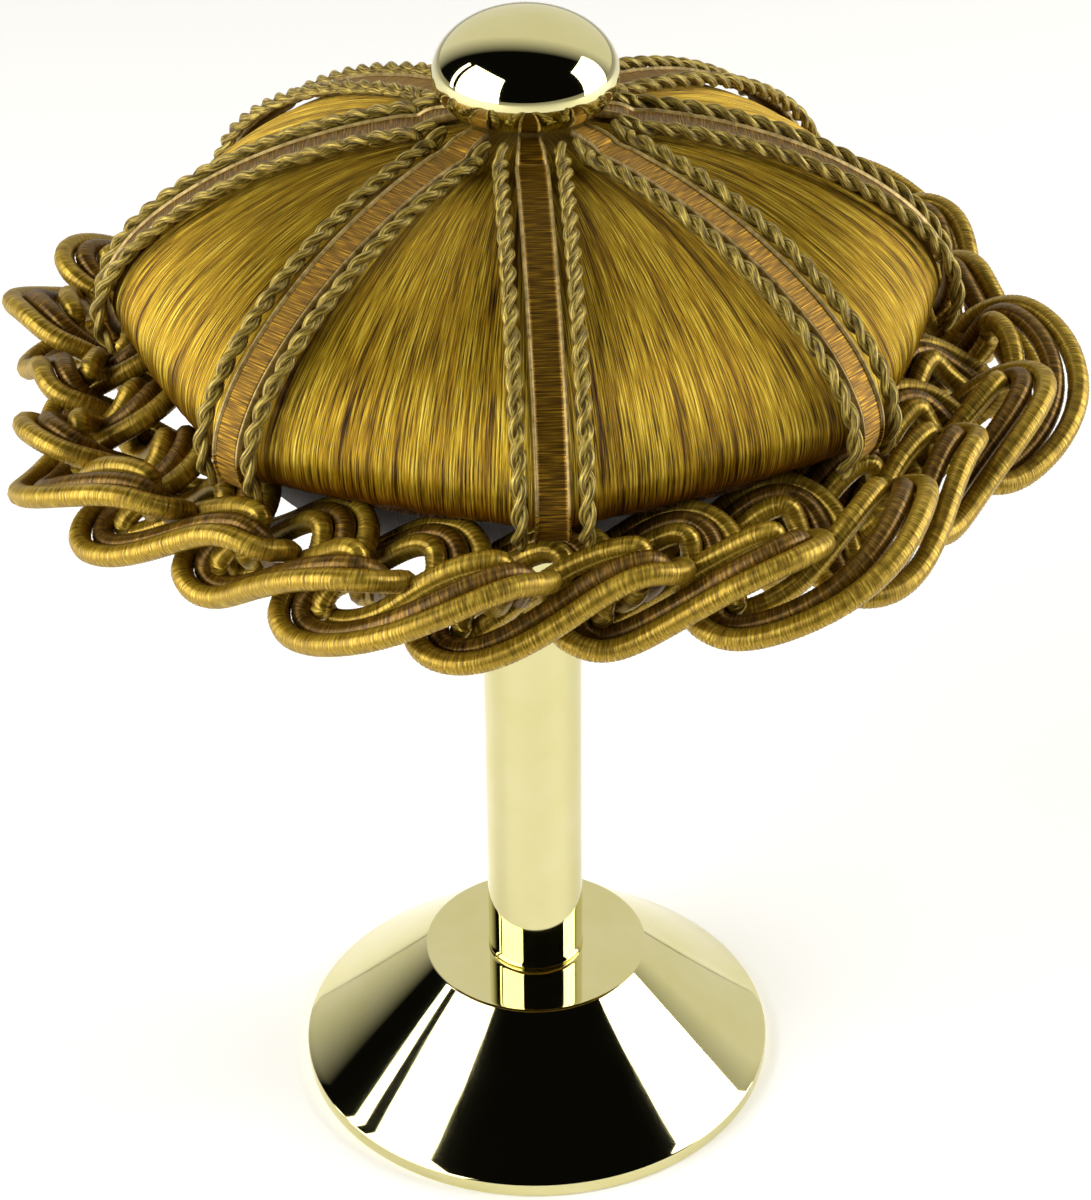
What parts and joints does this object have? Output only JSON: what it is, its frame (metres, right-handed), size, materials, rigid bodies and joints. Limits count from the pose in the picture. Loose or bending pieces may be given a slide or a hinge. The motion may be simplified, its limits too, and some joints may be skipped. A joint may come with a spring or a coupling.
{
  "type": "curtain holdback hook",
  "caption": "Curtain holdback hook with a brass foot, stem and button, a padded silk floss rosette with ribbon and rope ribs, and a plaited cord border",
  "frame": {"origin": "centre of the foot's flat face, which goes against the wall and on which the hook stands", "axes": "+Z runs out of the foot along the stem to the button, -Y faces the ribbon that the picture shows in front"},
  "size_m": [0.1021, 0.1023, 0.1198],
  "materials": {
    "brass": "polished",
    "floss": "satin",
    "ribbon": "satin",
    "rope": "matt",
    "gimp": "satin"
  },
  "bodies": {
    "root": {"foot": "brass", "stem": "brass", "button": "brass", "rosette": "floss", "ribbon-1": "ribbon", "rope-1-left": "rope", "rope-1-right": "rope", "ribbon-2": "ribbon", "rope-2-left": "rope", "rope-2-right": "rope", "ribbon-3": "ribbon", "rope-3-left": "rope", "rope-3-right": "rope", "ribbon-4": "ribbon", "rope-4-left": "rope", "rope-4-right": "rope", "ribbon-5": "ribbon", "rope-5-left": "rope", "rope-5-right": "rope", "ribbon-6": "ribbon", "rope-6-left": "rope", "rope-6-right": "rope", "ribbon-7": "ribbon", "rope-7-left": "rope", "rope-7-right": "rope", "ribbon-8": "ribbon", "rope-8-left": "rope", "rope-8-right": "rope", "strand-large": "gimp", "strand-low": "gimp", "strand-middle": "gimp"}
  },
  "joints": []
}
